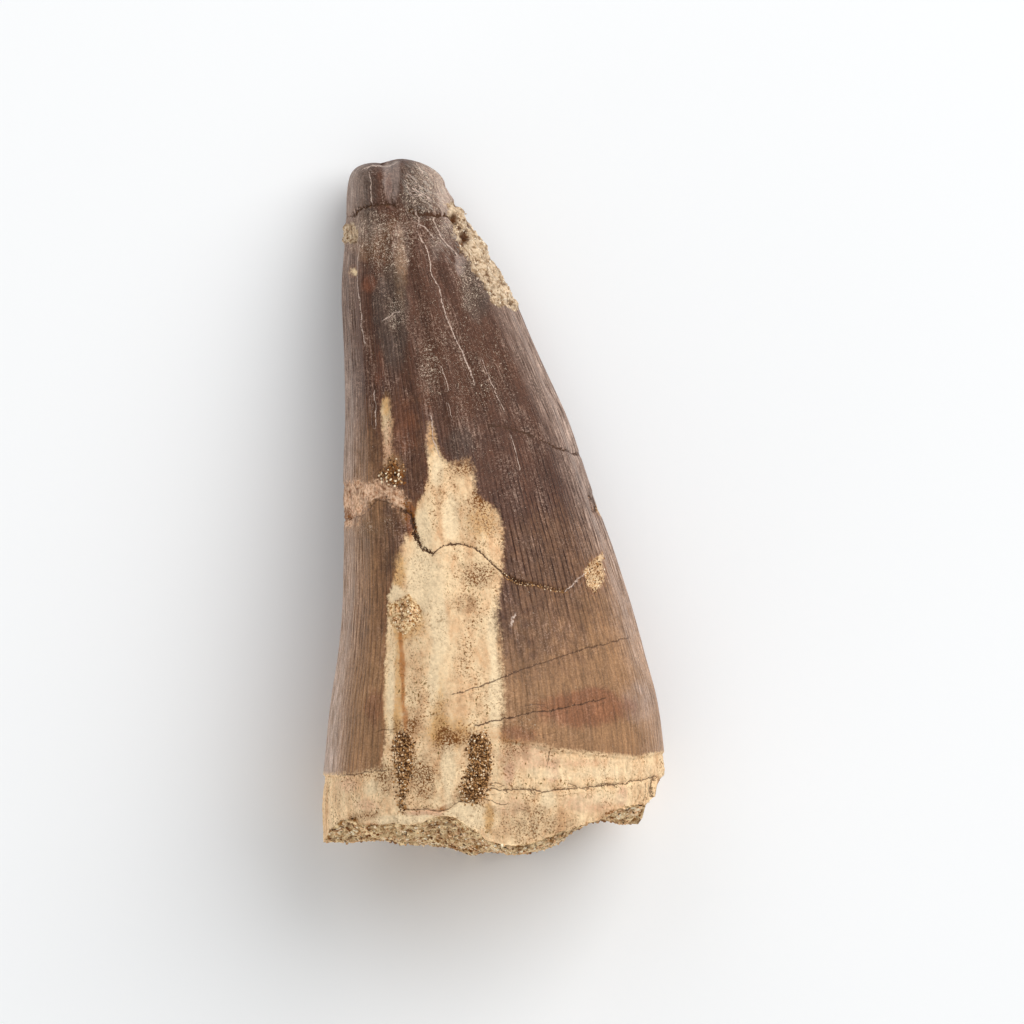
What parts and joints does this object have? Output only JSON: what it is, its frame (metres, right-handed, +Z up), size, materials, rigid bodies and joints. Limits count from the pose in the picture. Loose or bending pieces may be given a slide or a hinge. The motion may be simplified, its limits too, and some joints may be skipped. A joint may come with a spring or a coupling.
{
  "type": "fossil mosasaur tooth",
  "caption": "Fossil mosasaur tooth lying on its flatter side: a worn, two-lobed tip, ribbed brown enamel, a bare strip of cream dentine, a sand-filled crack and a broken root end.",
  "frame": {"origin": "middle of the tooth's box on the surface that it lies on", "axes": "+Y along the tooth towards its worn tip, +X across it towards the fuller edge, +Z up from the face that it lies on"},
  "size_m": [0.0342, 0.0702, 0.0264],
  "materials": {
    "enamel": "satin, worn fossil enamel with fine lengthwise ribs",
    "dentine": "matt, porous fossil dentine",
    "sand": "rough, cemented phosphate sand"
  },
  "bodies": {
    "root": {"mosasaur_tooth": "enamel"}
  },
  "joints": []
}
